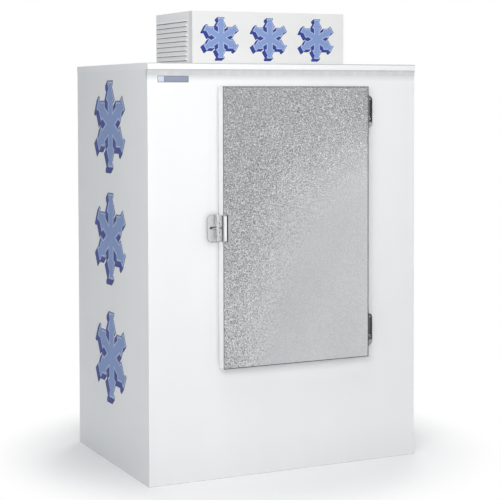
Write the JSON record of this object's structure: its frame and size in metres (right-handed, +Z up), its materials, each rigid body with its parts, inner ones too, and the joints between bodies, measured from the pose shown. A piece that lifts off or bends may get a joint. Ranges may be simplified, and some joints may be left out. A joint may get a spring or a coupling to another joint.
{
  "type": "ice merchandiser freezer",
  "caption": "Upright insulated freezer for bagged ice, with a hinged door in its front, a cooling unit in a louvred housing on its roof, an evaporator inside and turning fans.",
  "frame": {"origin": "centre of the cabinet's footprint, on the floor", "axes": "+X to the right as seen from the front, +Y to the back so that the door faces -Y, +Z up"},
  "size_m": [1.285, 0.9805, 1.988],
  "materials": {
    "white_paint": "semi-gloss",
    "sign_white": "semi-gloss",
    "stucco_metal": "embossed",
    "galvanised": "spangled",
    "steel": "brushed",
    "fins": "satin",
    "dark_chrome": "polished",
    "copper": "satin",
    "black_paint": "satin",
    "black_plastic": "matte",
    "white_plastic": "satin",
    "foam": "matte",
    "grey_rubber": "matte",
    "black_rubber": "matte"
  },
  "bodies": {
    "cabinet": {"base_pan": "galvanised", "left_side_panel": "white_paint", "right_side_panel": "white_paint", "rear_panel": "white_paint", "front_panel": "white_paint", "roof_panel": "white_paint", "floor_insulation": "foam", "ceiling_insulation": "foam", "left_wall_insulation": "foam", "right_wall_insulation": "foam", "rear_wall_insulation": "foam", "front_wall_insulation": "foam", "inner_liner": "white_paint", "doorway_breaker": "white_plastic", "floor_rack": "galvanised", "evaporator_housing": "steel", "evaporator_coil": "fins", "evaporator_fan_motor": "black_paint", "evaporator_fan_guard": "dark_chrome", "evaporator_drain_pan": "steel", "defrost_heater": "black_paint", "drain_tube": "white_plastic", "unit_base_plate": "galvanised", "compressor": "black_paint", "compressor_mounts": "black_rubber", "condenser_coil": "fins", "fan_shroud": "black_paint", "condenser_fan_motor": "black_paint", "fan_motor_bracket": "galvanised", "liquid_receiver": "black_paint", "filter_drier": "copper", "discharge_line": "copper", "suction_line": "copper", "liquid_line": "copper", "control_box": "galvanised", "control_wiring": "black_rubber", "cord_gland": "black_plastic", "housing_left_panel": "white_paint", "housing_right_panel": "white_paint", "housing_rear_panel": "white_paint", "housing_top_cover": "white_paint", "sign_panel": "sign_white", "lock_staple": "steel", "upper_hinge_jamb_leaf": "dark_chrome", "lower_hinge_jamb_leaf": "dark_chrome", "upper_hinge_pin": "dark_chrome", "lower_hinge_pin": "dark_chrome", "hinge_bearings": "white_plastic"},
    "door": {"door_outer_skin": "stucco_metal", "door_edge_trim": "white_paint", "door_foam": "foam", "door_inner_panel": "white_paint", "door_gasket": "grey_rubber", "door_handle": "steel", "upper_hinge_door_leaf": "dark_chrome", "lower_hinge_door_leaf": "dark_chrome"},
    "condenser_fan": {"condenser_fan": "black_plastic"},
    "evaporator_fan": {"evaporator_fan": "black_plastic"},
    "thermostat_knob": {"thermostat_knob": "black_plastic"}
  },
  "joints": [
    {"name": "door_swing", "type": "hinge", "parent": "cabinet", "child": "door", "pos_m": [0.3905, -0.463, 1.0685], "axis": [0, 0, 1], "range_deg": [0, 110]},
    {"name": "condenser_fan_spin", "type": "hinge", "parent": "cabinet", "child": "condenser_fan", "pos_m": [-0.2885, -0.0581, 1.8714], "axis": [1, 0, 0], "continuous": true},
    {"name": "evaporator_fan_spin", "type": "hinge", "parent": "cabinet", "child": "evaporator_fan", "pos_m": [0, 0.047, 1.615], "axis": [0, 1, 0], "continuous": true},
    {"name": "thermostat_turn", "type": "hinge", "parent": "cabinet", "child": "thermostat_knob", "pos_m": [0.2085, -0.1825, 1.852], "axis": [-1, 0, 0], "range_deg": [0, 270]}
  ]
}
